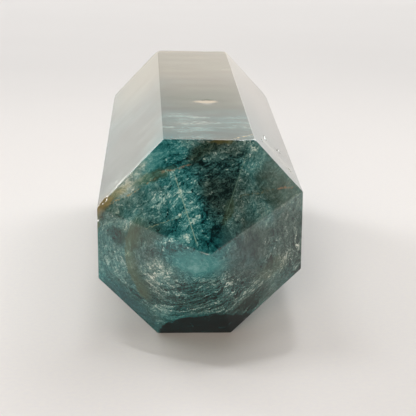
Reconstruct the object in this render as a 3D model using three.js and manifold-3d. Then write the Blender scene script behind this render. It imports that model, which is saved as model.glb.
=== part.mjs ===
// An eight-sided crystal tower, cut and polished from one piece of blue-green apatite.
// It lies on its bottom facet, with its tip toward -Y and its flat base toward +Y.
// Units are millimetres and degrees, and +Z is up.

import * as THREE from "three";
import { ConvexGeometry } from "three/addons/geometries/ConvexGeometry.js";
import { mergeVertices } from "three/addons/utils/BufferGeometryUtils.js";
import Module from "manifold-3d";

const wasm = await Module();
wasm.setup();

// Length of the shaft, from the shoulder, where the tip begins, back to the base.
const shaftLength = 90.8;

// The eight sides, clockwise from the top as seen from the tip. Each side has a shaft facet and a tip
// facet. turn: the way the shaft facet faces around the axis, from +X toward +Z. near and base: its
// distance from the axis at the shoulder and at the base. tipTurn: the same turn for the tip facet.
// slope: how far the tip facet leans back from the cross-section. peak: how far ahead of the shoulder
// its plane meets the axis.
const sides = [
  { name: "top", turn: 89, near: 13.0, base: 14.8, tipTurn: 89, slope: 35.3, peak: 9.2 },
  { name: "upperRight", turn: 42.5, near: 13.9, base: 15.4, tipTurn: 44.3, slope: 35.6, peak: 9.8 },
  { name: "right", turn: -0.5, near: 13.3, base: 15.5, tipTurn: 0, slope: 37.0, peak: 10.0 },
  { name: "lowerRight", turn: -46.5, near: 12.3, base: 13.9, tipTurn: -46, slope: 38.3, peak: 9.7 },
  { name: "bottom", turn: -90, near: 13.1, base: 14.8, tipTurn: -91, slope: 34.7, peak: 9.1 },
  { name: "lowerLeft", turn: -135, near: 13.3, base: 15.0, tipTurn: -134.5, slope: 33.5, peak: 8.8 },
  { name: "left", turn: 180, near: 13.4, base: 14.7, tipTurn: 180, slope: 34.1, peak: 9.1 },
  { name: "upperLeft", turn: 136, near: 12.5, base: 14.7, tipTurn: 136, slope: 36.6, peak: 9.3 },
];

// Widths of the narrow flats that the polish leaves along the edges.
const easedWidth = { shaft: 0.4, shoulder: 0.22, tip: 0.12, base: 0.7 };

// Depth of the small flats on the eight shoulder corners, clockwise from top / upper right.
const cornerDepths = [0.05, 0.14, 0.17, 0.12, 0.14, 0.16, 0.08, 0.05];

// Chips in the edges and pits in the facets. side: the facet that carries it. along: how far back from
// the shoulder. across: how far from the facet's middle line, positive clockwise. size: length along
// the axis, width across the facet and depth.
const flaws = [
  { side: "top", along: 0.1, across: -0.3, size: [0.5, 1.3, 0.3] },
  { side: "top", along: 0, across: 0.8, size: [0.4, 0.8, 0.26] },
  { side: "top", along: 29.5, across: 1.5, size: [4.8, 2.4, 0.14] },
  { side: "upperRight", along: 14.0, across: -1.5, size: [3.2, 0.7, 0.3] },
  { side: "upperRight", along: 16.7, across: 1.7, size: [2.8, 0.6, 0.3] },
  { side: "upperRight", along: 7.8, across: -2.7, size: [1.6, 0.4, 0.2] },
  { side: "upperRight", along: 8.3, across: 3.0, size: [1.8, 0.5, 0.2] },
  { side: "upperLeft", along: 0.5, across: -5.2, size: [1.3, 1.5, 0.36] },
  { side: "upperLeft", along: 0.2, across: -1.1, size: [0.5, 1.0, 0.24] },
  { side: "left", along: 0.2, across: 2.6, size: [0.9, 0.7, 0.3] },
  { side: "left", along: 38.0, across: -1.5, size: [2.4, 0.8, 0.26] },
  { side: "right", along: 0.1, across: -4.2, size: [0.5, 1.0, 0.28] },
  { side: "right", along: 54.0, across: 2.2, size: [1.8, 1.0, 0.24] },
  { side: "lowerRight", along: 0, across: 3.4, size: [0.5, 0.9, 0.24] },
  { side: "lowerLeft", along: 0, across: -2.8, size: [0.4, 0.9, 0.24] },
  { side: "top", along: shaftLength, across: 3.1, size: [1.4, 3.4, 0.6] },
  { side: "upperRight", along: shaftLength, across: -2.2, size: [1.0, 2.2, 0.5] },
  { side: "left", along: shaftLength, across: 1.4, size: [1.6, 2.8, 0.7] },
  { side: "upperLeft", along: shaftLength, across: -4.8, size: [1.1, 1.8, 0.6] },
  { side: "right", along: shaftLength, across: -3.6, size: [1.2, 2.4, 0.6] },
];

// Turn of each scoop against the one before it, in radians, so that no two chips are alike.
const scoopTurn = { sideways: 1.1, flat: 0.7 };

// Two points closer than this are one corner, and a point this far past a plane still lies on it.
const sameCorner = 0.002;
const onPlane = 1e-7;

// Three planes whose normals span less than this have no meeting point worth keeping.
const leastSpan = 1e-6;

// Vertices closer than this are merged into one.
const weldDistance = 1e-4;

const degrees = THREE.MathUtils.degToRad;

// The bottom facet slopes by this much against the axis, and it lies flat on the ground.
const bottom = sides.find((side) => side.name === "bottom");
const axisTilt = Math.atan((bottom.base - bottom.near) / shaftLength);

// A direction around the axis, in the cross-section.
function around(turn) {
  return new THREE.Vector3(Math.cos(degrees(turn)), 0, Math.sin(degrees(turn)));
}

// A cutting plane keeps the side that its normal points away from.
function cut(normal, point) {
  const unit = normal.clone().normalize();
  return { normal: unit, reach: unit.dot(point) };
}

function shaftCut(side) {
  const outward = around(side.turn);
  const widening = (side.base - side.near) / shaftLength;
  const normal = outward.clone().add(new THREE.Vector3(0, -widening, 0));
  return cut(normal, outward.clone().multiplyScalar(side.near));
}

function tipCut(side) {
  const slope = degrees(side.slope);
  const normal = around(side.tipTurn).multiplyScalar(Math.sin(slope));
  normal.y = -Math.cos(slope);
  return cut(normal, new THREE.Vector3(0, -side.peak, 0));
}

// The narrow flat along the edge where two facets meet.
function edgeCut(a, b, width) {
  const middle = a.normal.clone().add(b.normal);
  const half = a.normal.angleTo(b.normal) / 2;
  const reach = (a.reach + b.reach) / middle.length();
  return { normal: middle.normalize(), reach: reach - (width / 2) * Math.tan(half) };
}

// The point where three planes meet, or null where two of them run side by side.
function meeting(a, b, c) {
  const across = new THREE.Vector3().crossVectors(b.normal, c.normal);
  const span = a.normal.dot(across);
  if (Math.abs(span) < leastSpan) {
    return null;
  }
  const point = across.multiplyScalar(a.reach);
  point.addScaledVector(new THREE.Vector3().crossVectors(c.normal, a.normal), b.reach);
  point.addScaledVector(new THREE.Vector3().crossVectors(a.normal, b.normal), c.reach);
  return point.divideScalar(span);
}

// The small flat across the corner where three facets meet.
function cornerCut(a, b, c, depth) {
  const corner = meeting(a, b, c);
  const normal = a.normal.clone().add(b.normal).add(c.normal).normalize();
  return cut(normal, corner.addScaledVector(normal, -depth));
}

// Every corner of the block that the planes leave.
function cornersLeftBy(cuts) {
  const corners = [];
  for (let i = 0; i < cuts.length; i += 1) {
    for (let j = i + 1; j < cuts.length; j += 1) {
      for (let k = j + 1; k < cuts.length; k += 1) {
        const point = meeting(cuts[i], cuts[j], cuts[k]);
        const kept = point && cuts.every(({ normal, reach }) => normal.dot(point) < reach + onPlane);
        if (kept && corners.every((other) => other.distanceTo(point) > sameCorner)) {
          corners.push(point);
        }
      }
    }
  }
  return corners;
}

function blockCuts() {
  const shaft = sides.map(shaftCut);
  const tip = sides.map(tipCut);
  const base = cut(new THREE.Vector3(0, 1, 0), new THREE.Vector3(0, shaftLength, 0));
  const cuts = [...shaft, ...tip, base];
  sides.forEach((side, i) => {
    const next = (i + 1) % sides.length;
    cuts.push(edgeCut(shaft[i], shaft[next], easedWidth.shaft));
    cuts.push(edgeCut(shaft[i], tip[i], easedWidth.shoulder));
    cuts.push(edgeCut(tip[i], tip[next], easedWidth.tip));
    cuts.push(edgeCut(shaft[i], base, easedWidth.base));
    cuts.push(cornerCut(shaft[i], shaft[next], tip[i], cornerDepths[i]));
  });
  return cuts;
}

// A geometry with nothing but merged positions, which the solid library takes.
function solidFrom(geometry) {
  const bare = new THREE.BufferGeometry();
  bare.setAttribute("position", geometry.getAttribute("position").clone());
  if (geometry.index) {
    bare.setIndex(geometry.index.clone());
  }
  const merged = mergeVertices(bare, weldDistance);
  const mesh = new wasm.Mesh({
    numProp: 3,
    vertProperties: new Float32Array(merged.getAttribute("position").array),
    triVerts: new Uint32Array(merged.index.array),
  });
  return new wasm.Manifold(mesh);
}

function geometryFrom(solid) {
  const mesh = solid.getMesh();
  const geometry = new THREE.BufferGeometry();
  geometry.setAttribute("position", new THREE.BufferAttribute(mesh.vertProperties, 3));
  geometry.setIndex(new THREE.BufferAttribute(mesh.triVerts, 1));
  return geometry;
}

// A rough little scoop, sunk into a facet or into its edge.
function flawSolid(flaw, order) {
  const side = sides.find((one) => one.name === flaw.side);
  const outward = around(side.turn);
  const clockwise = around(side.turn - 90);
  const share = flaw.along / shaftLength;
  const reach = THREE.MathUtils.lerp(side.near, side.base, share);
  const [length, width, depth] = flaw.size;
  const scoop = new THREE.IcosahedronGeometry(1, 1);
  scoop.rotateY(order * scoopTurn.sideways);
  scoop.rotateZ(order * scoopTurn.flat);
  scoop.scale(width / 2, length / 2, depth);
  const place = new THREE.Matrix4().makeBasis(clockwise, new THREE.Vector3(0, 1, 0), outward);
  const middle = outward.clone().multiplyScalar(reach).addScaledVector(clockwise, flaw.across);
  place.setPosition(middle.setY(flaw.along));
  return solidFrom(scoop.applyMatrix4(place));
}

function stoneSolid() {
  let stone = solidFrom(new ConvexGeometry(cornersLeftBy(blockCuts())));
  flaws.forEach((flaw, order) => {
    stone = stone.subtract(flawSolid(flaw, order));
  });
  return stone;
}

// The stone laid on its bottom facet, its box centred on the origin and standing on it.
function laidDown(geometry) {
  geometry.rotateX(axisTilt);
  geometry.computeBoundingBox();
  const middle = geometry.boundingBox.getCenter(new THREE.Vector3());
  geometry.translate(-middle.x, -middle.y, -geometry.boundingBox.min.z);
  return geometry;
}

const polishedApatite = new THREE.MeshStandardMaterial({
  color: 0x47706c,
  roughness: 0.2,
  metalness: 0,
});

const tower = new THREE.Mesh(laidDown(geometryFrom(stoneSolid())), polishedApatite);
tower.name = "apatite_tower";

const part = new THREE.Group();
part.add(tower);

export default part;
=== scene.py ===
import math

import bmesh
import bpy
import numpy as np
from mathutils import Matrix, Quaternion, Vector, noise


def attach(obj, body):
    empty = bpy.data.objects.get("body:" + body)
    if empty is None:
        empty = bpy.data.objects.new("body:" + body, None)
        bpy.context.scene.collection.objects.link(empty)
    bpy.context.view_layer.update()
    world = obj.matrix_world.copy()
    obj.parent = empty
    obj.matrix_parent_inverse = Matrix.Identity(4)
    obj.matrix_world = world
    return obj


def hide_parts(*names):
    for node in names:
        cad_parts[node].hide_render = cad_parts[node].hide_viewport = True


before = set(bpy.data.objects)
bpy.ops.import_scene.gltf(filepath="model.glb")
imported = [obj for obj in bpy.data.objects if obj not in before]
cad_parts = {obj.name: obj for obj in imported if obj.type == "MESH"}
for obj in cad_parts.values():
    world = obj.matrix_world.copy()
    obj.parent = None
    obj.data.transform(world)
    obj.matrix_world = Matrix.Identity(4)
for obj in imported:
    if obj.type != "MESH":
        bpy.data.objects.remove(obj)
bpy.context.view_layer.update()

mm = 0.001
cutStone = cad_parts["apatite_tower"]

# how the flat facets of the cut stone are told apart, in millimetres and degrees
facetFinding = {
    "sameFacing": 0.9999,
    "smallestFacet": 50.0,
    "shaftLean": 0.3,  # a shaft facet leans along the stone less than this, a tip facet more
    "baseLean": 0.9,
    "clockStart": 100,  # just before the top facet
    "longestEdge": 500.0,
    "sideBySide": 1e-9,  # a facet with less slope than this along an edge does not end it
}


def facetPlanes(node):
    # the large flat facets: outward normal and distance from the origin
    faces = sorted(node.data.polygons, key=lambda face: -face.area)
    found = []
    for face in faces:
        normal = np.array(face.normal)
        area = face.area / mm ** 2
        reach = float(normal @ np.array(face.center)) / mm
        for plane in found:
            if plane["normal"] @ normal > facetFinding["sameFacing"]:
                plane["area"] += area
                break
        else:
            found.append({"normal": normal, "reach": reach, "area": area})
    return [plane for plane in found if plane["area"] > facetFinding["smallestFacet"]]


def clockFromTop(plane):
    x, _, z = plane["normal"]
    return (facetFinding["clockStart"] - math.degrees(math.atan2(z, x))) % 360


planes = facetPlanes(cutStone)
shaftPlanes = [plane for plane in planes if abs(plane["normal"][1]) < facetFinding["shaftLean"]]
tipPlanes = [plane for plane in planes if plane["normal"][1] < -facetFinding["shaftLean"]]
basePlane = next(plane for plane in planes if plane["normal"][1] > facetFinding["baseLean"])
shaftPlanes.sort(key=clockFromTop)
tipPlanes.sort(key=clockFromTop)
print("facets found:", len(shaftPlanes), "on the shaft,", len(tipPlanes), "on the tip")


def edgeBetween(a, b):
    # the two ends of the edge where two facets meet, the one nearer the tip first
    along = np.cross(a["normal"], b["normal"])
    along /= np.linalg.norm(along)
    start = np.linalg.solve(np.array([a["normal"], b["normal"], along]), [a["reach"], b["reach"], 0.0])
    low, high = -facetFinding["longestEdge"], facetFinding["longestEdge"]
    for other in planes:
        if other is a or other is b:
            continue
        slope = other["normal"] @ along
        gap = other["reach"] - other["normal"] @ start
        if slope > facetFinding["sideBySide"]:
            high = min(high, gap / slope)
        elif slope < -facetFinding["sideBySide"]:
            low = max(low, gap / slope)
    ends = [start + along * low, start + along * high]
    return sorted(ends, key=lambda end: end[1])


sideCount = len(shaftPlanes)
tipEdges = [edgeBetween(tipPlanes[i], tipPlanes[(i + 1) % sideCount]) for i in range(sideCount)]
shaftEdges = [edgeBetween(shaftPlanes[i], shaftPlanes[(i + 1) % sideCount]) for i in range(sideCount)]
peak = sum(edge[0] for edge in tipEdges) / sideCount
axisStart = sum(edge[0] for edge in shaftEdges) / sideCount
axisEnd = sum(edge[1] for edge in shaftEdges) / sideCount
axisWay = basePlane["normal"]

# the skin of the stone, in millimetres
stoneSkinLook = {
    # points across a facet, counted in from both its edges; on a narrow facet they keep the same
    # shares as on one of fullWidth
    "edgeSteps": [0.0, 0.05, 0.12, 0.21, 0.34, 0.55, 0.9, 1.5, 2.4, 3.6, 4.9],
    "fullWidth": 11.0,
    # rings of points on the tip, counted from the shoulder toward the peak
    "tipRings": [0.05, 0.12, 0.21, 0.34, 0.55, 0.9, 1.4, 2.0, 2.8, 3.6, 4.5,
                 5.4, 6.3, 7.2, 8.1, 9.0, 9.9, 10.8, 11.7, 12.6, 13.4],
    "peakRings": 11,
    "closeRings": 6,  # that many of the tip's steps are used again at both ends of the shaft
    "shaftRing": 1.3,
    "shoulderBlend": 1.6,
    "baseRings": [0.06, 0.14, 0.26, 0.42, 0.66, 1.0, 1.6, 2.6, 4.0, 6.0, 8.5, 11.5],
    "baseRadius": 14.8,
    "merge": 0.002,  # points closer than this become one
}


def ringAt(corners):
    # one closed ring of points through eight corners, crowded near each corner
    ring = []
    for i in range(sideCount):
        a, b = corners[i - 1], corners[i]
        width = np.linalg.norm(b - a)
        steps = [step for step in stoneSkinLook["edgeSteps"] if step < width / 2]
        if len(steps) < len(stoneSkinLook["edgeSteps"]):
            shares = [step / stoneSkinLook["fullWidth"] for step in stoneSkinLook["edgeSteps"]]
        else:
            shares = [step / width for step in steps]
        shares = shares + [1 - share for share in reversed(shares[1:])]
        ring += [a + (b - a) * share for share in shares]
    return ring


def tipRings():
    # from the peak to the shoulder
    length = np.mean([np.linalg.norm(edge[1] - edge[0]) for edge in tipEdges])
    rings = []
    for distance in reversed([0.0] + stoneSkinLook["tipRings"]):
        share = distance / length
        rings.append(ringAt([end + (start - end) * share for start, end in tipEdges]))
    count = stoneSkinLook["peakRings"]
    fan = [[peak + (point - peak) * (k / count) for point in rings[0]] for k in range(1, count)]
    return fan + rings


def shaftRings():
    # from the shoulder to the rim of the base
    length = shaftEdges[0][1][1] - shaftEdges[0][0][1]
    blend = stoneSkinLook["shoulderBlend"]
    close = stoneSkinLook["tipRings"][:stoneSkinLook["closeRings"]]
    middle = np.linspace(blend, length - blend, int(length / stoneSkinLook["shaftRing"]))
    rings = []
    for distance in close + list(middle) + [length - step for step in reversed(close)] + [length]:
        corners = []
        for (near, far), (_, shoulder) in zip(shaftEdges, tipEdges):
            pull = max(0.0, 1 - distance / blend)
            corners.append(near + (far - near) * (distance / length) + (shoulder - near) * pull)
        rings.append(ringAt(corners))
    return rings


def stoneSkin():
    # rings from the peak of the tip to the middle of the base, as one closed mesh
    rings = tipRings() + shaftRings()
    rim = rings[-1]
    for distance in stoneSkinLook["baseRings"]:
        share = distance / stoneSkinLook["baseRadius"]
        rings.append([point + (axisEnd - point) * share for point in rim])
    count = len(rim)
    points = [peak] + [point for ring in rings for point in ring] + [axisEnd]
    last = len(points) - 1
    innermost = last - count
    faces = []
    for k in range(count):
        after = (k + 1) % count
        faces.append((0, 1 + after, 1 + k))
        faces.append((last, innermost + k, innermost + after))
        for r in range(len(rings) - 1):
            a, b = 1 + r * count, 1 + (r + 1) * count
            faces.append((a + k, a + after, b + after, b + k))
    skin = bmesh.new()
    corners = [skin.verts.new(point) for point in points]
    for face in faces:
        skin.faces.new([corners[i] for i in face])
    return skin


# how softly the edges are rounded, by place, and how uneven the polish is
polish = {
    "tipEase": 0.045,
    "shoulderEase": 0.03,
    "shaftEase": 0.02,
    "baseEase": 0.28,
    "beforeShoulder": 2.0,  # the tip's ease ends this far ahead of the shoulder
    "afterShoulder": 2.5,
    "beforeBase": 4.0,
    "variation": 0.5,
    "variationScale": 0.35,
    "waviness": 0.012,
    "wavinessScale": 0.22,
    "rounds": 5,
}


def easeAt(points):
    shoulder, end = axisStart[1], axisEnd[1]
    places = [peak[1], shoulder - polish["beforeShoulder"], shoulder, shoulder + polish["afterShoulder"],
              end - polish["beforeBase"], end]
    eases = [polish["tipEase"], polish["tipEase"], polish["shoulderEase"], polish["shaftEase"],
             polish["shaftEase"], polish["baseEase"]]
    wobble = np.array([noise.noise(Vector(point * polish["variationScale"])) for point in points])
    return np.interp(points[:, 1], places, eases) * (1 + polish["variation"] * wobble)


def pressOntoFacets(points):
    # every point is moved onto the stone's surface, with the edges between facets rounded
    normals = np.array([plane["normal"] for plane in planes])
    reaches = np.array([plane["reach"] for plane in planes])
    ease = easeAt(points)[:, None]
    for _ in range(polish["rounds"]):
        gaps = (points @ normals.T - reaches) / ease
        top = gaps.max(axis=1, keepdims=True)
        weights = np.exp(gaps - top)
        total = weights.sum(axis=1, keepdims=True)
        height = (top + np.log(total)) * ease
        slope = (weights / total) @ normals
        points = points - slope * height / (slope ** 2).sum(axis=1, keepdims=True)
    return points, slope


# chips in the edges and pits in the facets: side, counted clockwise from the top; distance back from
# the shoulder; distance from the facet's middle line, clockwise; length, width, depth
chips = {
    "top edge nick": (0, 0.1, -0.3, (0.5, 1.3, 0.3)),
    "top edge second nick": (0, 0.0, 0.8, (0.4, 0.8, 0.26)),
    "pale dish on top": (0, 29.5, 1.5, (4.8, 2.4, 0.05)),
    "long pit upper right": (1, 14.0, -1.5, (3.2, 0.7, 0.2)),
    "lower pit upper right": (1, 16.7, 1.7, (2.8, 0.6, 0.2)),
    "small pit upper right": (1, 7.8, -2.7, (1.6, 0.4, 0.2)),
    "outer pit upper right": (1, 8.3, 3.0, (1.8, 0.5, 0.2)),
    "left corner chip": (7, 0.5, -5.2, (1.3, 1.5, 0.36)),
    "upper left nick": (7, 0.2, -1.1, (0.5, 1.0, 0.24)),
    "left nick": (6, 0.2, 2.6, (0.9, 0.7, 0.3)),
    "left pit": (6, 38.0, -1.5, (2.4, 0.8, 0.26)),
    "right nick": (2, 0.1, -4.2, (0.5, 1.0, 0.28)),
    "right pit": (2, 54.0, 2.2, (1.8, 1.0, 0.24)),
    "lower right nick": (3, 0.0, 3.4, (0.5, 0.9, 0.24)),
    "lower left nick": (5, 0.0, -2.8, (0.4, 0.9, 0.24)),
    "base rim top": (0, 90.8, 3.1, (1.4, 3.4, 0.6)),
    "base rim upper right": (1, 90.8, -2.2, (1.0, 2.2, 0.5)),
    "base rim left": (6, 90.8, 1.4, (1.6, 2.8, 0.7)),
    "base rim upper left": (7, 90.8, -4.8, (1.1, 1.8, 0.6)),
    "base rim right": (2, 90.8, -3.6, (1.2, 2.4, 0.6)),
}
chipGrain = {
    "finest": 0.13,
    "rounds": 4,
    "refineReach": 1.25,  # in half sizes of the chip, as are the next two
    "carveReach": 1.4,
    "carveDepth": 3.0,
    "roughness": 0.22,
    "scale": 2.3,
}


def chipPlaces():
    # the middle of each chip on its facet, its three directions and its half sizes
    places = []
    for side, along, across, (length, width, depth) in chips.values():
        plane = shaftPlanes[side]
        out = plane["normal"]
        back = axisWay - out * (axisWay @ out)
        back /= np.linalg.norm(back)
        clockwise = np.cross(out, back)
        if clockwise @ np.array([out[2], 0.0, -out[0]]) < 0:
            clockwise = -clockwise
        foot = axisStart + axisWay * along
        centre = foot + out * (plane["reach"] - out @ foot) + clockwise * across
        places.append((centre, clockwise, back, out, width / 2, length / 2, depth))
    return places


def refineAt(skin, centre, radius):
    for _ in range(chipGrain["rounds"]):
        near = []
        for edge in skin.edges:
            length = edge.calc_length()
            middle = (edge.verts[0].co + edge.verts[1].co) / 2
            if length > chipGrain["finest"] and (middle - centre).length < radius + length / 2:
                near.append(edge)
        if near:
            bmesh.ops.subdivide_edges(skin, edges=near, cuts=1, use_grid_fill=True)


def carveChips(points):
    for centre, across, back, out, wide, long, deep in chipPlaces():
        local = points - centre
        u, v, w = local @ across, local @ back, local @ out
        inReach = (np.abs(u) < wide * chipGrain["carveReach"]) & (np.abs(v) < long * chipGrain["carveReach"])
        for i in np.nonzero(inReach & (np.abs(w) < deep * chipGrain["carveDepth"]))[0]:
            rough = noise.noise(Vector(points[i] * chipGrain["scale"])) * chipGrain["roughness"]
            share = math.sqrt((u[i] / wide) ** 2 + (v[i] / long) ** 2) * (1 + rough)
            if share < 1:
                bottom = -deep * math.sqrt(1 - share ** 2) * (1 + rough)
                if w[i] > bottom:
                    points[i] += out * (bottom - w[i])
    return points


def buildStone():
    skin = stoneSkin()
    for centre, _, _, _, wide, long, _ in chipPlaces():
        refineAt(skin, Vector(centre), max(wide, long) * chipGrain["refineReach"])
    bmesh.ops.triangulate(skin, faces=[face for face in skin.faces if len(face.verts) > 4])
    points = np.array([vert.co for vert in skin.verts], float)
    points, outward = pressOntoFacets(points)
    waves = np.array([noise.noise(Vector(point * polish["wavinessScale"])) for point in points])
    points = points + outward * ((waves - 1.0) * polish["waviness"])[:, None]  # never outside the facets
    points = carveChips(points)
    for vert, point in zip(skin.verts, points):
        vert.co = Vector(point) * mm
    bmesh.ops.remove_doubles(skin, verts=skin.verts, dist=stoneSkinLook["merge"] * mm)
    bmesh.ops.recalc_face_normals(skin, faces=skin.faces)
    mesh = bpy.data.meshes.new("apatiteStone")
    skin.to_mesh(mesh)
    skin.free()
    mesh.shade_smooth()
    made = bpy.data.objects.new("apatite_stone", mesh)
    bpy.context.scene.collection.objects.link(made)
    return made


stone = buildStone()
print("stone built:", len(stone.data.vertices), "points,", len(stone.data.polygons), "faces")

# short ways to lay out nodes
desk = {}  # "tree" is the node tree that is being worked on


def newMaterial(name):
    made = bpy.data.materials.new(name)
    made.use_nodes = True
    desk["tree"] = made.node_tree
    return made, made.node_tree.nodes["Principled BSDF"].inputs


def join(output, socket):
    desk["tree"].links.new(output, socket)


def add(kind, inputs=None, **settings):
    # a new node; each input takes a value or another node's output
    made = desk["tree"].nodes.new("ShaderNode" + kind)
    for name, value in settings.items():
        setattr(made, name, value)
    for name, value in (inputs or {}).items():
        if isinstance(value, bpy.types.NodeSocket):
            join(value, made.inputs[name])
        else:
            made.inputs[name].default_value = value
    return made


def calc(operation, a, b=0.0, c=0.0):
    return add("Math", {0: a, 1: b, 2: c}, operation=operation).outputs[0]


def calcVector(operation, a, b=(0, 0, 0)):
    made = add("VectorMath", {0: a, 1: b}, operation=operation)
    return made.outputs["Value"] if operation in ("LENGTH", "DOT_PRODUCT") else made.outputs["Vector"]


def scaled(vector, factor):
    return add("VectorMath", {"Vector": vector, "Scale": factor}, operation="SCALE").outputs["Vector"]


def oneAxis(vector, axis):
    return add("SeparateXYZ", {0: vector}).outputs[axis]


def cloudNoise(where, scale, detail=4.0, roughness=0.55, distortion=0.0):
    made = add("TexNoise", {"Vector": where, "Scale": scale, "Detail": detail, "Roughness": roughness,
                            "Distortion": distortion})
    return made.outputs["Fac"]


def shove(where, scale, distance, detail=2.0, shift=(0, 0, 0)):
    # bends the coordinates by a noise, up to about this many millimetres
    moved = calcVector("ADD", where, shift)
    made = add("TexNoise", {"Vector": moved, "Scale": scale, "Detail": detail, "Roughness": 0.5})
    centred = calcVector("SUBTRACT", made.outputs["Color"], (0.5, 0.5, 0.5))
    return calcVector("ADD", where, scaled(centred, distance * 2))


def remap(value, low, high, toLow=0.0, toHigh=1.0):
    made = add("MapRange", {"Value": value, "From Min": low, "From Max": high, "To Min": toLow,
                            "To Max": toHigh}, interpolation_type="SMOOTHSTEP", clamp=False)
    return made.outputs["Result"]


def blendColour(amount, a, b, kind="MIX"):
    made = add("Mix", {"Factor": amount, "A": a, "B": b}, data_type="RGBA", blend_type=kind)
    return made.outputs["Result"]


def paint(red, green, blue):
    # a colour as it is seen, 0 to 255, turned into what the shader takes
    parts = [value / 255 for value in (red, green, blue)]
    return (*(v / 12.92 if v <= 0.04045 else ((v + 0.055) / 1.055) ** 2.4 for v in parts), 1)


def colourRamp(value, stops):
    made = add("ValToRGB", {"Fac": value})
    ramp = made.color_ramp
    while len(ramp.elements) < len(stops):
        ramp.elements.new(0.5)
    for element, (place, colour) in zip(ramp.elements, stops):
        element.position = place
        element.color = paint(*colour)
    return made.outputs["Color"]


def spot(where, place, size, turn=0.0, soft=0.6):
    # 1 inside an ellipsoid, fading to 0 at its skin; it turns anticlockwise as seen from the tip
    cos, sin = math.cos(math.radians(turn)), math.sin(math.radians(turn))
    offset = calcVector("SUBTRACT", where, place)
    across = calcVector("DOT_PRODUCT", offset, (cos / size[0], 0, sin / size[0]))
    deep = calcVector("DOT_PRODUCT", offset, (0, 1 / size[1], 0))
    up = calcVector("DOT_PRODUCT", offset, (-sin / size[2], 0, cos / size[2]))
    away = add("CombineXYZ", {"X": across, "Y": deep, "Z": up}).outputs[0]
    return remap(calcVector("LENGTH", away), 1 + soft / 2, 1 - soft / 2)


# location in metres, turns in degrees
cameraPlace = {
    "location": (-4.64 * mm, -198.37 * mm, 51.09 * mm),
    "pitchDown": 12.196,
    "turnRight": 1.896,
    "sensor": 36,
    "focalPixels": 1240,  # the focal length, in pixels of a picture this wide
    "pictureWidth": 416,
    "clip": (0.01, 20),
}


def addCamera():
    data = bpy.data.cameras.new("viewCamera")
    data.sensor_width = cameraPlace["sensor"]
    data.lens = cameraPlace["focalPixels"] / cameraPlace["pictureWidth"] * cameraPlace["sensor"]
    data.clip_start, data.clip_end = cameraPlace["clip"]
    camera = bpy.data.objects.new("viewCamera", data)
    camera.location = cameraPlace["location"]
    pitch = math.radians(90 - cameraPlace["pitchDown"])
    camera.rotation_euler = (pitch, 0, math.radians(-cameraPlace["turnRight"]))
    bpy.context.scene.collection.objects.link(camera)
    bpy.context.scene.camera = camera


# sizes in metres; the paper turns from the near tone to a darker far one over the fade, painted shade that
# darkens the floor with distance
floorLook = {
    "radius": 4.0,
    "segments": 96,
    "paper": (239, 237, 235),
    "shadedFarPaper": (218, 217, 216),
    "fade": (0.0, 0.35),
    # scale, detail and roughness; which part of the noise counts; the tones it turns into
    "clouds": ((5.0, 3.0), (0.3, 0.7), (0.985, 1.0)),
    "fibres": ((1400.0, 2.0, 0.7), (0.2, 0.8), (0.98, 1.01)),
    "roughness": 0.8,
}


def paperMaterial():
    material, surface = newMaterial("whitePaper")
    place = add("TexCoord").outputs["Object"]
    far = remap(calcVector("LENGTH", place), *floorLook["fade"])
    paper = blendColour(far, paint(*floorLook["paper"]), paint(*floorLook["shadedFarPaper"]))
    tones = []
    for grain, counted, tone in (floorLook["clouds"], floorLook["fibres"]):
        tones.append(remap(cloudNoise(place, *grain), *counted, *tone))
    clouds, fibres = tones
    both = calc("MULTIPLY", clouds, fibres)
    shade = add("CombineColor", {"Red": both, "Green": both, "Blue": clouds}).outputs["Color"]
    join(blendColour(1.0, paper, shade, "MULTIPLY"), surface["Base Color"])
    surface["Roughness"].default_value = floorLook["roughness"]
    surface["Specular IOR Level"].default_value = 0.0
    return material


def addFloor():
    skin = bmesh.new()
    bmesh.ops.create_circle(skin, cap_ends=True, radius=floorLook["radius"], segments=floorLook["segments"])
    mesh = bpy.data.meshes.new("paperFloor")
    skin.to_mesh(mesh)
    skin.free()
    mesh.materials.append(paperMaterial())
    floor = bpy.data.objects.new("paperFloor", mesh)
    bpy.context.scene.collection.objects.link(floor)


# each lamp: way toward it from the stone, distance and size in metres, power in watts, turn in degrees
softboxes = {
    "highRight": {"way": (0.7, 0.95, 1.0), "distance": 5.0, "size": (3.0, 2.4), "power": 53},
    "leftTube": {"way": (-0.37, 0.45, 1.0), "distance": 5.0, "size": (0.06, 1.9), "power": 40, "turn": 12},
    "rightTube": {"way": (0.09, 0.43, 1.0), "distance": 5.0, "size": (0.06, 1.5), "power": 37, "turn": -29},
    "highBack": {"way": (0.0, 1.2, 1.0), "distance": 5.0, "size": (2.0, 1.2), "power": 16},
    "overhead": {"way": (0.0, -0.12, 1.0), "distance": 5.0, "size": (1.8, 2.6), "power": 21},
    "highLeft": {"way": (-0.8, 0.4, 1.0), "distance": 5.0, "size": (4.0, 2.0), "power": 16},
    "backRight": {"way": (0.7, 1.8, 1.0), "distance": 30.0, "size": (17.5, 5.0), "power": 2250},
    "backLeft": {"way": (-1.2, 2.1, 1.0), "distance": 30.0, "size": (7.5, 5.0), "power": 2000},
    "lowLeft": {"way": (-3.4, 4.2, 1.0), "distance": 30.0, "size": (15.0, 7.5), "power": 3400},
    "frontWindow": {"way": (-0.5, -3.0, 1.0), "distance": 30.0, "size": (15.0, 7.5), "power": 4300,
                    "tint": (1.0, 0.84, 0.70)},
}


def addSoftbox(name, box):
    way = Vector(box["way"]).normalized()
    data = bpy.data.lights.new(name, "AREA")
    data.shape = "RECTANGLE"
    data.size, data.size_y = box["size"]
    data.energy = box["power"]
    data.color = box.get("tint", (1, 1, 1))
    lamp = bpy.data.objects.new(name, data)
    lamp.location = way * box["distance"]
    roll = Quaternion((0, 0, 1), math.radians(box.get("turn", 0)))
    lamp.rotation_euler = (way.to_track_quat("Z", "Y") @ roll).to_euler()
    bpy.context.scene.collection.objects.link(lamp)


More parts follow.
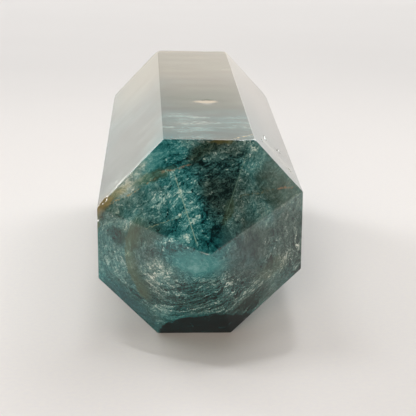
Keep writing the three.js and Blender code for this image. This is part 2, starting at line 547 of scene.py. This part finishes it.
# upward: where the walls run into the ceiling; sideways: where the left wall runs into the right one
roomGlow = {
    "leftWall": (0.96, 0.92, 0.86, 1),
    "rightWall": (1.34, 1.26, 1.17, 1),
    "ceiling": (0.02, 0.02, 0.02, 1),
    "upward": (0.05, 0.50),
    "sideways": (-0.05, 0.2),
}


def addRoom():
    # pale walls all round and a dim ceiling
    world = bpy.data.worlds.new("paleRoom")
    world.use_nodes = True
    desk["tree"] = world.node_tree
    way = add("TexCoord").outputs["Generated"]
    left, right = roomGlow["sideways"]
    side = add("MapRange", {"Value": oneAxis(way, "X"), "From Min": left, "From Max": right})
    walls = blendColour(side.outputs["Result"], roomGlow["leftWall"], roomGlow["rightWall"])
    up = remap(oneAxis(way, "Z"), *roomGlow["upward"])
    join(blendColour(up, walls, roomGlow["ceiling"]), world.node_tree.nodes["Background"].inputs["Color"])
    bpy.context.scene.world = world


addCamera()
addFloor()
for name, box in softboxes.items():
    addSoftbox(name, box)
addRoom()
bpy.context.scene.view_settings.view_transform = "Standard"
print("camera, floor and lights placed")

# the polished apatite
material, surface = newMaterial("polishedApatite")
finish = {"Roughness": 0.12, "IOR": 1.64}

# how the pattern is bent out of line: scale, reach in millimetres, detail, shift
bends = {
    "bent": (0.16, 1.2, 3.0),
    "frayed": (1.0, 0.5, 5.0, (7, 3, 1)),
    "jagged": (0.4, 0.45, 2.0, (3, 9, 2)),
    "jaggedAgain": (2.2, 0.3, 5.0, (5, 1, 8)),
}
inMillimetres = scaled(add("TexCoord").outputs["Object"], 1 / mm)
bent = shove(inMillimetres, *bends["bent"])
frayed = shove(bent, *bends["frayed"])
jagged = shove(shove(inMillimetres, *bends["jagged"]), *bends["jaggedAgain"])

# where the tip ends and the shaft begins, along Y
shoulderFade = {"shaft": (-41.4, -40.0), "tip": (-38.0, -40.4)}
depth = oneAxis(inMillimetres, "Y")
onShaft = remap(depth, *shoulderFade["shaft"])
onTip = remap(depth, *shoulderFade["tip"])

# how the grain runs: diagonally above, in rings round the peak below
flow = {
    "turn": 32.0,
    "along": 0.45,
    "ringCentre": (-0.7, -46.5, 12.0),
    "ringReach": 3.4,
    "turnsAt": (14.4, 16.6),
}
diagonal = add("Mapping", {"Vector": frayed, "Rotation": (0, math.radians(-flow["turn"]), 0),
                           "Scale": (1 / flow["along"], 1, 1)}, vector_type="TEXTURE").outputs["Vector"]
fromCentre = calcVector("SUBTRACT", frayed, flow["ringCentre"])
ringed = calcVector("ADD", scaled(calcVector("NORMALIZE", fromCentre), flow["ringReach"]),
                    add("CombineXYZ", {"X": calcVector("LENGTH", fromCentre)}).outputs[0])
isUpper = remap(oneAxis(frayed, "Z"), *flow["turnsAt"])


def alongGrain(pattern):
    # the same pattern laid along both runs of the grain
    below, above = pattern(ringed), pattern(diagonal)
    return add("Mix", {"Factor": isUpper, "A": below, "B": above}, data_type="FLOAT").outputs["Result"]


# how crisp the fine pattern is, more where the stone is crumpled inside and less where it is milky:
# place, half sizes, turn, softness, amount
crispPatches = {
    "crumpled": ((1.2, -44, 20.0), (7.5, 9, 6.5), 20, 0.8, 0.42),
    "smooth right": ((8.8, -44, 19.0), (6.2, 9, 7.0), -35, 0.8, -0.35),
    "folded": ((0.5, -43, 6.6), (6.5, 6, 3.6), 0, 0.8, 0.6),
    "calm": ((2.0, -48, 15.1), (1.6, 4, 1.3), 0, 0.4, -0.5),
    "outer strip": ((-8.8, -41, 21.8), (5.4, 6, 1.9), 42, 0.6, -0.35),
    "grainy right": ((11.5, -43, 12.5), (3.8, 6, 5.8), 0, 0.8, 0.35),
    "milky pool": ((-0.6, -48, 11.6), (3.4, 5, 1.9), 0, 0.8, -0.6),
}
crispStart = {"everywhere": 0.8, "shaft": -0.5}
crispness = calc("MULTIPLY_ADD", onShaft, crispStart["shaft"], crispStart["everywhere"])
for place, size, turn, soft, amount in crispPatches.values():
    crispness = calc("MULTIPLY_ADD", spot(bent, place, size, turn, soft), amount, crispness)

# light and dark of the stone, from 0 to 1, starts at the middle tone, and every layer swings round it;
# a grain is the scale, detail, roughness and distortion of a noise
layers = {
    "clouds": {"amount": 0.42, "grain": (0.2, 3.0, 0.55)},
    "streaks": {"amount": 0.36, "grain": (0.7, 4.0, 0.62, 0.5)},
    "fibres": {"amount": 0.65, "grain": (2.6, 3.0, 0.7, 0.3), "stretch": (0.5, 1, 1)},
    "largeFlakes": {"amount": 0.17, "scale": 0.8},
    "smallFlakes": {"amount": 0.38, "scale": 1.9},
    "creases": {"amount": 1.35, "grain": (0.85, 4.0, 0.62, 0.6), "paintedShadeStep": (-0.07, 0, 0.09)},
    "cracks": {"amount": 0.16, "width": 0.02},
    "grit": {"amount": 1.1, "grain": (5.0, 2.0, 0.9, 0.3)},
    "flecks": {"amount": 0.31, "grain": (2.6, 2.0, 0.75, 0.9), "shift": (11, 4, 8), "shows": (0.62, 0.72)},
    "shaftStreaks": {"amount": 1.3, "grain": (1.0, 4.0, 0.6, 0.4), "stretch": (0.16, 0.42, 0.3)},
}
middleTone = 0.52


def layerNoise(name, where):
    return cloudNoise(where, *layers[name]["grain"])


def swing(name, pattern, sofar, against=0.5):
    return calc("MULTIPLY_ADD", calc("SUBTRACT", pattern, against), layers[name]["amount"], sofar)


def flakes(name):
    # broken flakes, each with its own tone and its own slant of light, about -0.5 to 0.5
    scale = layers[name]["scale"]

    def pattern(where):
        cells = add("TexVoronoi", {"Vector": where, "Scale": scale, "Randomness": 1.0})
        lean = calcVector("SUBTRACT", cells.outputs["Color"], (0.5, 0.5, 0.5))
        fromMiddle = scaled(calcVector("SUBTRACT", where, cells.outputs["Position"]), scale)
        slant = calcVector("DOT_PRODUCT", fromMiddle, lean)
        return calc("MULTIPLY_ADD", oneAxis(lean, "X"), 0.5, slant)
    return alongGrain(pattern)


def creases(shift=(0, 0, 0)):
    # 0 along each crease, growing away from it
    folds = alongGrain(lambda where: layerNoise("creases", calcVector("ADD", where, shift)))
    return calc("ABSOLUTE", calc("SUBTRACT", folds, 0.5))


value = swing("clouds", layerNoise("clouds", bent), middleTone)
value = swing("streaks", alongGrain(lambda where: layerNoise("streaks", where)), value)
longWay = calcVector("MULTIPLY", diagonal, layers["fibres"]["stretch"])
fine = swing("fibres", layerNoise("fibres", longWay), 0.0)
fine = swing("largeFlakes", flakes("largeFlakes"), fine, 0.0)
fine = swing("smallFlakes", flakes("smallFlakes"), fine, 0.0)
crease = creases()
# painted shade and light: each crease minus a copy of it shifted by the shade step, so one side of every
# crease is painted darker and the other lighter, as if lit from the upper left
fine = swing("creases", crease, fine, creases(layers["creases"]["paintedShadeStep"]))
crack = remap(crease, layers["cracks"]["width"], 0.0)
fine = calc("MULTIPLY_ADD", crack, -layers["cracks"]["amount"], fine)
fine = swing("grit", layerNoise("grit", frayed), fine)
flecks = layerNoise("flecks", calcVector("ADD", diagonal, layers["flecks"]["shift"]))
fine = calc("MULTIPLY_ADD", remap(flecks, *layers["flecks"]["shows"]), layers["flecks"]["amount"], fine)
value = calc("MULTIPLY_ADD", fine, crispness, value)

# broad streaks across the shaft
acrossShaft = calcVector("MULTIPLY", frayed, layers["shaftStreaks"]["stretch"])
streaks = calc("SUBTRACT", layerNoise("shaftStreaks", acrossShaft), 0.5)
value = calc("MULTIPLY_ADD", calc("MULTIPLY", streaks, onShaft), layers["shaftStreaks"]["amount"], value)

# lighter and darker patches: place, half sizes, turn, amount
lightPatches = {
    # painted reflection: the near part of the upper right shaft facet is lightened, standing in for the pale
    # room it reflects at a grazing angle
    "near reflection on the upper right side": ((14.5, -32.5, 22.5), (7.0, 8.0, 6.0), -45, 0.14),
    "bright heart": ((-1.4, -47, 16.2), (1.9, 5, 2.6), 0, 0.04),
    "near end on top": ((-1, -34, 26.5), (10, 12, 3), 0, 0.17),
    "outer strip upper left": ((-9.2, -41, 21.2), (4.6, 6, 1.5), 42, 0.29),
    "upper left": ((-7.5, -43, 19.0), (4.8, 6, 3.0), 25, 0.14),
    "white cluster by the ridge": ((-3.7, -43.9, 22.1), (0.9, 3, 0.6), 20, 0.14),
    "white flecks upper left": ((-5.8, -44, 17.6), (1.2, 3, 0.9), 40, 0.07),
    "teal pane": ((-2.0, -46, 17.8), (1.7, 6, 3.6), 0, 0.09),
    "milky pool": ((-0.8, -49, 11.8), (3.2, 5, 1.6), 0, 0.16),
    "white feathers left of the peak": ((-4.0, -47, 14.4), (2.4, 5, 0.5), 20, 0.22),
    "feathers lower left": ((-6.0, -45, 9.7), (2.0, 5, 2.2), -35, 0.28),
    "milky foot": ((-5.2, -42, 3.9), (1.4, 5, 1.0), 20, 0.18),
    "pale streaks lower right": ((7.6, -43, 7.8), (3.6, 5, 1.0), 40, 0.08),
    "pale right": ((10.3, -42, 12.6), (2.4, 5, 2.8), 0, 0.06),
    "blue pane right": ((7.6, -45, 16.6), (1.6, 5, 1.8), -50, 0.14),
    "upper right corner": ((6.8, -41, 24.0), (1.5, 4, 2.0), -20, 0.09),
    # painted highlight: a lighter band along the upper right ridge of the tip
    "highlight along the upper right ridge": ((4.7, -43, 21.5), (0.7, 4, 3.0), -20, 0.05),
    "white breath left": ((-10.8, -43, 15.4), (2.2, 5, 0.8), 10, 0.20),
    "left side": ((-12.0, -42, 10.5), (2.8, 5, 4.5), 0, 0.12),
    "upper right": ((8.2, -43, 20.5), (4.4, 5, 3.6), -40, 0.09),
    "lower right": ((6.5, -44, 8.0), (5.0, 5, 4.0), 0, 0.03),
    "white streak on top": ((-1.5, -29, 26.6), (2.4, 3, 1.0), 0, 0.05),
    "second streak on top": ((1.8, -33.0, 26.4), (3.0, 0.9, 1.0), 0, 0.04),
    "far end": ((0.0, 42.0, 28.0), (16, 34, 12), 0, 0.12),
    # painted reflection: the whole upper right shaft facet is lightened, standing in for the pale room it
    # reflects at a grazing angle
    "reflection along the upper right side": ((13.0, 6.0, 22.0), (8.0, 46.6, 6.0), -45, 0.28),
}
darkPatches = {
    "top left": ((-4.6, -42, 24.2), (2.4, 5, 2.2), 0, 0.10),
    "lower left": ((-9.5, -42, 6.6), (3.2, 5, 2.0), -40, 0.09),
    "band on top": ((0.5, 0, 27.5), (9, 20, 3), 0, 0.12),
    "foot of the river": ((1.1, -47, 17.3), (1.4, 5, 2.2), 0, 0.08),
    "dark crown": ((0.8, -42, 24.4), (4.0, 5, 1.7), 12, 0.03),
    "dark heart right": ((2.6, -44, 21.6), (1.7, 5, 2.2), 0, 0.04),
    "blot left": ((-11.1, -43, 13.8), (0.9, 3, 0.8), 0, 0.24),
    "wedge right": ((6.1, -46, 16.9), (0.8, 3, 1.3), 30, 0.20),
    "blot right": ((3.9, -47, 16.0), (0.6, 3, 0.7), 0, 0.12),
    "dark lower right": ((6.0, -42, 4.6), (2.8, 4, 1.3), 40, 0.06),
    "right of the peak": ((5.0, -46, 13.0), (3.0, 4, 2.0), 0, 0.04),
}
for place, size, turn, amount in lightPatches.values():
    value = calc("MULTIPLY_ADD", spot(frayed, place, size, turn, soft=0.9), amount, value)
for place, size, turn, amount in darkPatches.values():
    value = calc("MULTIPLY_ADD", spot(frayed, place, size, turn, soft=0.9), -amount, value)

# darker panes with sharp sides, seen from the front: corners (x, z) clockwise, softness, amount
darkPanes = {
    "dark river": (jagged, [(-0.8, 23.6), (4.9, 23.4), (3.4, 19.2), (1.6, 15.0), (-0.5, 15.3)], 0.12, 0.145),
    "beside the ridge": (inMillimetres, [(2.8, 25.4), (5.85, 25.4), (3.3, 19.0), (1.6, 18.6)], 0.10, 0.06),
    "pane at the peak": (inMillimetres, [(0.9, 16.3), (2.4, 16.5), (3.1, 15.4), (3.5, 14.42), (1.6, 13.46),
                                         (0.5, 14.6)], 0.08, 0.24),
    "deep teal at the peak": (frayed, [(-0.6, 15.4), (0.6, 15.6), (2.0, 13.8), (0.85, 13.1), (-0.6, 13.6)],
                              0.2, 0.06),
    # painted reflection of shade: the bottom of the tip is made much darker, standing in for the floor's
    # dark contact shadow seen in the lowest facets
    "reflected shadow on the foot": (frayed, [(-3.7, 3.3), (1.6, 3.1), (6.4, 4.2), (5.2, -0.8), (-6.6, -0.8)], 0.25, 0.50),
}


def pane(where, corners, soft):
    # 1 inside a patch of the tip with straight sides, seen from the front
    mask = onTip
    for (x, z), (nextX, nextZ) in zip(corners, corners[1:] + corners[:1]):
        inward = Vector((nextZ - z, 0, x - nextX)).normalized()
        edge = inward.dot(Vector((x, 0, z)))
        side = remap(calcVector("DOT_PRODUCT", where, inward[:]), edge - soft, edge + soft)
        mask = calc("MULTIPLY", side, mask)
    return mask


for where, corners, soft, amount in darkPanes.values():
    value = calc("MULTIPLY_ADD", pane(where, corners, soft), -amount, value)

# the tones from dark to light, once blue-green and once grey
tealStops = [(0.0, (0, 20, 24)), (0.22, (4, 48, 52)), (0.45, (26, 88, 90)), (0.68, (60, 126, 127)),
             (0.86, (116, 165, 162)), (1.0, (196, 216, 206))]
greyStops = [(0.0, (6, 20, 20)), (0.22, (22, 44, 42)), (0.45, (50, 74, 69)), (0.68, (84, 105, 99)),
             (0.86, (128, 144, 136)), (1.0, (200, 206, 196))]
tealStone = colourRamp(value, tealStops)
greyStone = colourRamp(value, greyStops)

# where the blue-green is purest, and where it turns grey: place, half sizes, turn, amount
huePatches = {
    "foot of the river": ((1.3, -47, 17.6), (1.4, 5, 2.4), 0, -0.35),
    "upper left": ((-7.5, -43, 19.0), (5.4, 6, 3.2), 25, 0.4),
    "pane at the peak": ((1.9, -48, 15.1), (1.5, 4, 1.2), 0, -0.3),
    "dark green crown": ((2.6, -43, 22.8), (3.6, 6, 4.2), 0, -0.35),
    "upper left side": ((-11, -28, 21), (7, 18, 7), 45, -0.7),
    "heart": ((-1.0, -48, 14.6), (4.6, 6, 4.6), 0, 0.7),
    "top left": ((-4.6, -42, 24.4), (2.4, 5, 2.6), 0, 0.7),
    "pane": ((-1.8, -45, 19.0), (2.0, 5, 3.6), 0, 0.5),
    "outer strip": ((-7.8, -41, 22.8), (4.8, 6, 2.2), 45, 0.2),
    "blue strip lower left": ((-11.0, -40, 5.2), (5.4, 4, 1.1), -42, 0.6),
    "blue pane": ((7.5, -45, 17.2), (2.4, 5, 1.6), -40, 0.4),
    "top right": ((6.2, -42, 24.0), (2.0, 5, 2.2), 0, 0.35),
    "foot": ((0.0, -41, 0.6), (6.5, 4, 2.6), 0, 0.7),
    "right side": ((10.0, -42, 12.0), (7.5, 8, 7.5), 0, -0.5),
    "left side": ((-12.0, -42, 11.0), (5.0, 8, 6.0), 0, 0.12),
}
hueLook = {
    "clouds": {"grain": (0.14, 3.0, 0.5), "shift": (40, 0, 9), "counted": (0.3, 0.7), "share": (0.15, 0.75)},
    "fringe": {"grain": (0.9, 3.0, 0.6), "amount": 0.7},
}
hueClouds = hueLook["clouds"]
hue = cloudNoise(calcVector("ADD", bent, hueClouds["shift"]), *hueClouds["grain"])
hue = remap(hue, *hueClouds["counted"], *hueClouds["share"])
fringe = calc("SUBTRACT", cloudNoise(frayed, *hueLook["fringe"]["grain"]), 0.5)
hue = calc("MULTIPLY_ADD", fringe, hueLook["fringe"]["amount"], hue)
for place, size, turn, amount in huePatches.values():
    hue = calc("MULTIPLY_ADD", spot(frayed, place, size, turn, soft=1.0), amount, hue)
colour = blendColour(hue, greyStone, tealStone)

# stains: place, half sizes, turn, colour, strength, and how much they hide of what lies beneath
stains = {
    "blue strip lower left": ((-10.0, -41, 4.6), (5.0, 4, 0.9), -42, (56, 96, 102), 0.6, 0.45),
    "blue grey right": ((4.4, -45, 12.2), (2.6, 5, 3.6), 0, (84, 104, 108), 0.45, 0.3),
    "gold corner": ((-13.2, -41, 17.6), (1.4, 3, 0.8), 40, (168, 146, 98), 0.8, 0.6),
    "gold down the corner": ((-14.2, -41, 15.6), (0.8, 3, 2.6), 0, (140, 130, 90), 0.8, 0.5),
    "gold ramp": ((-11.5, -41, 18.8), (2.2, 3, 0.45), 40, (152, 146, 106), 0.7, 0.5),
    "olive seam": ((-6.4, -42, 21.6), (3.0, 3, 0.6), 26, (96, 112, 86), 0.7, 0.4),
    "olive under the gold": ((-12.2, -42, 16.0), (1.8, 3, 1.5), 20, (84, 96, 68), 0.3, 0.3),
    "olive crown": ((0.2, -42, 25.0), (3.0, 3, 0.9), 26, (46, 56, 34), 0.8, 0.2),
    "gold on the top edge": ((2.5, -41.4, 25.9), (1.4, 2.5, 0.3), 0, (116, 108, 62), 0.85, 0.4),
    "brown right": ((9.2, -43, 20.2), (3.0, 4, 1.8), -45, (86, 100, 86), 0.4, 0.3),
    "brown lower right": ((6.8, -42, 5.4), (2.6, 4, 1.2), 40, (56, 64, 50), 0.35, 0.3),
    "tan lower right": ((8.4, -43, 9.4), (2.4, 4, 1.5), 35, (110, 120, 98), 0.45, 0.35),
    "olive by the ridge": ((3.0, -46, 17.6), (0.5, 3, 1.6), -28, (84, 98, 74), 0.7, 0.3),
    "olive left of the peak": ((-8.8, -45, 14.4), (3.2, 4, 1.5), 10, (84, 100, 78), 0.5, 0.3),
    "green band on top": ((2.5, -6.0, 27.5), (9.0, 14.0, 3.0), 0, (96, 106, 66), 0.8, 0.5),
    "tan far end": ((0.0, 40.0, 27.0), (16, 36, 12), 0, (170, 150, 120), 0.85, 0.6),
    "peach in the dish": ((1.3, -11.6, 27.2), (1.6, 1.3, 0.9), 0, (232, 216, 196), 0.8, 0.7),
    # painted reflection: a pale pink over the upper right shaft facet, standing in for the pale room it
    # reflects at a grazing angle
    "pink reflection along the upper right side": ((13.0, 6.0, 22.0), (8.0, 46.6, 6.0), -45, (176, 160, 150), 0.8, 0.5),
}


def stained(mask, tint, cover, under):
    # the pattern beneath shows through the stain, apart from the share that it covers
    body = blendColour(1 - cover, paint(*tint), under, "OVERLAY")
    return blendColour(mask, under, body)


for place, size, turn, tint, strength, cover in stains.values():
    mask = calc("MULTIPLY", spot(frayed, place, size, turn, soft=0.9), strength)
    colour = stained(mask, tint, cover, colour)

# a tan shell on the left, sharp outside and fading inward
tanShell = {
    "centre": (-0.7, -44, 11.8),
    "reach": 9.5,
    "outside": 0.15,
    "inside": 0.1,
    "full": 0.4,
    "depth": 2.2,
    "shows": ((-9.2, -43, 9.4), (2.6, 8, 6.6), -4),
    "tint": (116, 130, 104),
    "strength": 0.7,
    "cover": 0.38,
}
flat = calcVector("MULTIPLY", calcVector("SUBTRACT", jagged, tanShell["centre"]), (1, 0, 1))
reach = calcVector("LENGTH", flat)
outer = remap(reach, tanShell["reach"] + tanShell["outside"], tanShell["reach"] - tanShell["inside"])
inner = remap(reach, tanShell["reach"] - tanShell["depth"], tanShell["reach"] - tanShell["full"])
shell = calc("MULTIPLY", calc("MULTIPLY", outer, inner), spot(bent, *tanShell["shows"], soft=0.6))
colour = stained(calc("MULTIPLY", shell, tanShell["strength"]), tanShell["tint"], tanShell["cover"], colour)

# thin mineral seams: flat sheets through the stone, each by a point on it and the way it faces,
# half width, the part of the sheet that shows, colour and strength
upperSheet = ((-3.3, -43.4, 22.8), (-0.449, 0.18, 0.875))
levelSheet = ((-3.3, -43.4, 22.8), (-0.25, 0.18, 0.95))
topSheet = ((5.2, -39.0, 26.1), (0.75, -0.66, 0.0))
lowerSheet = ((-7.7, -45.1, 15.0), (-0.306, 0.416, 0.856))
seams = {
    "gold edge": (upperSheet, 0.08, ((-9.4, -41, 20.0), (3.6, 9, 1.4), 35), (168, 150, 110), 0.7),
    "orange specks": (levelSheet, 0.12, ((-3.6, -43, 22.7), (1.9, 4, 0.8), 10), (158, 134, 108), 0.55),
    "gold line on top": (topSheet, 0.13, ((5.2, -39.0, 26.1), (1.7, 2.4, 1.2), 0), (236, 208, 156), 0.9),
    "lower seam": (lowerSheet, 0.06, ((-4.6, -46, 16.2), (3.0, 6, 1.8), 26), (138, 154, 124), 0.8),
    "rusty seam": (lowerSheet, 0.09, ((10.6, -42, 20.0), (1.3, 5, 0.7), 12), (158, 128, 104), 0.6),
    "brown seam": (lowerSheet, 0.10, ((6.6, -44, 19.2), (2.6, 5, 1.0), 12), (92, 96, 72), 0.7),
}
seamGaps = {"shift": (8, 2, 6), "grain": (2.2, 3.0, 0.65), "counted": (0.43, 0.56)}


def thinSheet(where, sheet, half):
    # 1 on a flat sheet through the stone, fading to 0 past its half width
    place, facing = sheet
    facing = Vector(facing).normalized()
    gap = calc("SUBTRACT", calcVector("DOT_PRODUCT", where, facing[:]), facing.dot(Vector(place)))
    return remap(calc("ABSOLUTE", gap), half * 1.5, half * 0.5)


broken = cloudNoise(calcVector("ADD", inMillimetres, seamGaps["shift"]), *seamGaps["grain"])
broken = remap(broken, *seamGaps["counted"])
for sheet, half, (middle, size, turn), tint, strength in seams.values():
    mask = thinSheet(jagged, sheet, half)
    mask = calc("MULTIPLY", mask, spot(inMillimetres, middle, size, turn, soft=0.5))
    mask = calc("MULTIPLY", mask, calc("MULTIPLY", broken, strength))
    colour = blendColour(mask, colour, paint(*tint))

# pale lines along two ridges of the tip, given in the same way: painted edge highlights, partly scuffs in
# the polish
ridgeHighlightsAndScuffs = {
    "upper left ridge": (((-0.78, -49.8, 13.42), (0.945, 0.0, 0.327)), 0.055,
                         ((-2.4, -46.6, 18.2), (2.6, 6, 5.3), 0), (136, 168, 150), 0.75),
    "upper right ridge": (((0.87, -50, 13.15), (0.925, 0.0, -0.380)), 0.06,
                          ((4.0, -44, 21.0), (2.0, 6, 5.2), 0), (92, 122, 108), 0.5),
}
for sheet, half, (middle, size, turn), tint, strength in ridgeHighlightsAndScuffs.values():
    mask = thinSheet(inMillimetres, sheet, half)
    mask = calc("MULTIPLY", mask, spot(inMillimetres, middle, size, turn, soft=0.3))
    mask = calc("MULTIPLY", mask, strength)
    colour = blendColour(mask, colour, paint(*tint))
join(colour, surface["Base Color"])
for name, amount in finish.items():
    surface[name].default_value = amount
stone.data.materials.append(material)
print("apatite mixed:", len(desk["tree"].nodes), "nodes")

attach(stone, "root")
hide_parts("apatite_tower")
